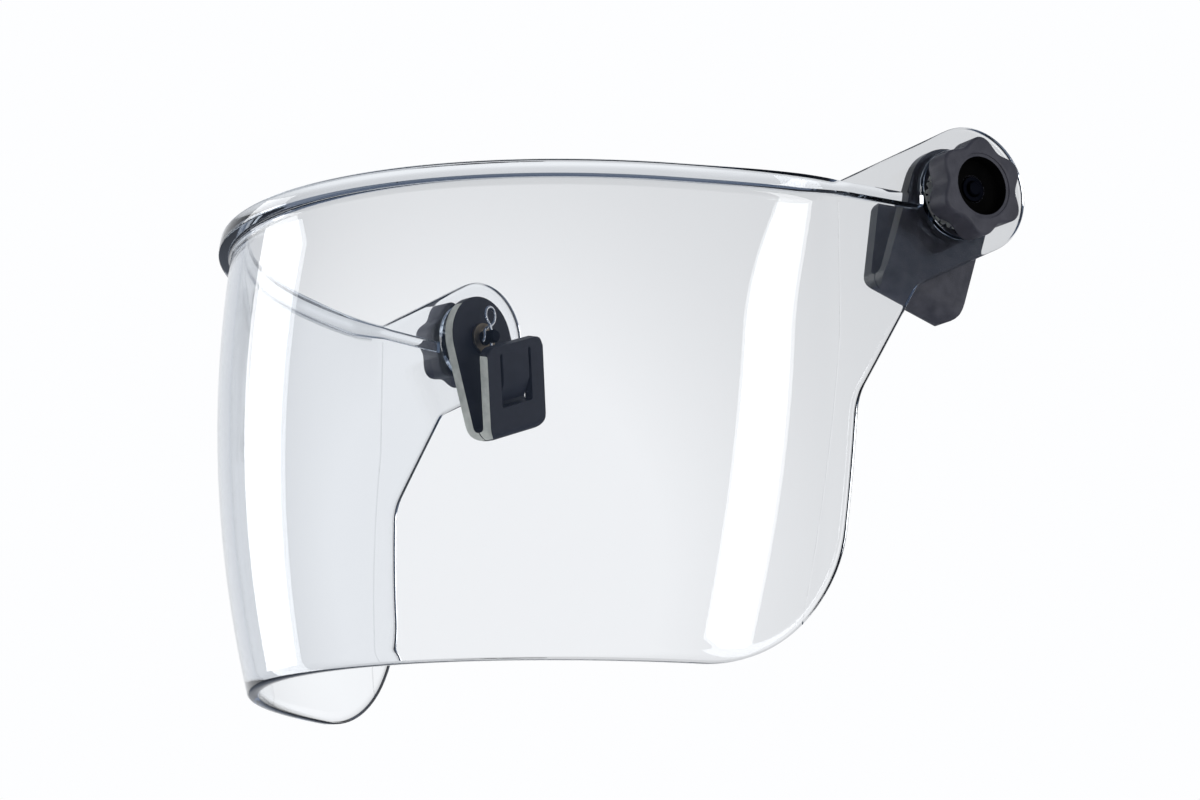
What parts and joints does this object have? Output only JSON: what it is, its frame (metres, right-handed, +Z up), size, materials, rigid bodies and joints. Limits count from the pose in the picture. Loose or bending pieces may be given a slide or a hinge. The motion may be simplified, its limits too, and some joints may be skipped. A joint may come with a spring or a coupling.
{
  "type": "face shield",
  "caption": "Clear curved face shield with a brow rib and two ears, hung from V-shaped helmet clips on clamping knobs.",
  "frame": {"origin": "midpoint between the two pivots, on the wearer's centre plane", "axes": "+X to the wearer's left, -Y to the front, +Z up with the visor lowered"},
  "size_m": [0.2896, 0.2013, 0.1765],
  "materials": {
    "clear_polycarbonate": "clear, polished on both faces, with a faint slate-blue edge",
    "clip_nylon": "fine moulded grain, cut edges slightly lighter",
    "knob_nylon": "fine spark-eroded grain",
    "plated_steel": "dark zinc plate",
    "spring_steel": "rolled strip",
    "zinc_wire": "bright zinc-plated wire",
    "blackened_steel": "black oxide",
    "bronze": "yellow passivate, dulled",
    "acetal": "punched sheet"
  },
  "bodies": {
    "shield": {"visor": "clear_polycarbonate", "left_stud": "blackened_steel", "left_wave_washer": "spring_steel", "left_friction_washer": "acetal", "left_retaining_washer": "bronze", "right_stud": "blackened_steel", "right_wave_washer": "spring_steel", "right_friction_washer": "acetal", "right_retaining_washer": "bronze"},
    "left_clip": {"left_helmet_clip": "clip_nylon"},
    "left_tongue": {"left_clip_tongue": "clip_nylon"},
    "left_clamp": {"left_pressure_washer": "plated_steel"},
    "left_knob": {"left_knob": "knob_nylon", "left_knob_insert": "blackened_steel"},
    "left_hairpin": {"left_hairpin": "zinc_wire"},
    "right_clip": {"right_helmet_clip": "clip_nylon"},
    "right_tongue": {"right_clip_tongue": "clip_nylon"},
    "right_clamp": {"right_pressure_washer": "plated_steel"},
    "right_knob": {"right_knob": "knob_nylon", "right_knob_insert": "blackened_steel"},
    "right_hairpin": {"right_hairpin": "zinc_wire"}
  },
  "joints": [
    {"name": "left_clip_swing", "type": "hinge", "parent": "shield", "child": "left_clip", "pos_m": [0.12924, 0, 0], "axis": [0.9889, -0.1483, 0], "range_deg": [-12, 117]},
    {"name": "left_tongue_flex", "type": "hinge", "parent": "left_clip", "child": "left_tongue", "pos_m": [0.10656, 0.00125, -0.00654], "axis": [0.1411, 0.9405, -0.309], "range_deg": [0, 10], "stiffness_Nm_per_rad": 0.02},
    {"name": "left_clamp_slide", "type": "slide", "parent": "shield", "child": "left_clamp", "axis": [0.9889, -0.1483, 0], "range_m": [0, 0.0016]},
    {"name": "left_knob_turn", "type": "hinge", "parent": "left_clamp", "child": "left_knob", "pos_m": [0.13814, -0.00134, 0], "axis": [0.9889, -0.1483, 0], "range_deg": [0, 720]},
    {"name": "left_hairpin_pull", "type": "slide", "parent": "shield", "child": "left_hairpin", "axis": [0, 0, 1], "range_m": [0, 0.012]},
    {"name": "right_clip_swing", "type": "hinge", "parent": "shield", "child": "right_clip", "pos_m": [-0.12924, 0, 0], "axis": [0.9889, 0.1483, 0], "range_deg": [-45, 81]},
    {"name": "right_tongue_flex", "type": "hinge", "parent": "right_clip", "child": "right_tongue", "pos_m": [-0.10724, 0.00574, -0.00645], "axis": [0.1389, -0.9263, -0.3502], "range_deg": [0, 10], "stiffness_Nm_per_rad": 0.02},
    {"name": "right_clamp_slide", "type": "slide", "parent": "shield", "child": "right_clamp", "axis": [-0.9889, -0.1483, 0], "range_m": [0, 0.0016]},
    {"name": "right_knob_turn", "type": "hinge", "parent": "right_clamp", "child": "right_knob", "pos_m": [-0.13814, -0.00134, 0], "axis": [-0.9889, -0.1483, 0], "range_deg": [0, 720]},
    {"name": "right_hairpin_pull", "type": "slide", "parent": "shield", "child": "right_hairpin", "axis": [0, 0, 1], "range_m": [0, 0.012]}
  ],
  "couplings": [
    {"joint": "left_clamp_slide", "follows": "left_knob_turn", "m_per_rad": 0.0001273},
    {"joint": "right_clamp_slide", "follows": "right_knob_turn", "m_per_rad": 0.0001273}
  ]
}
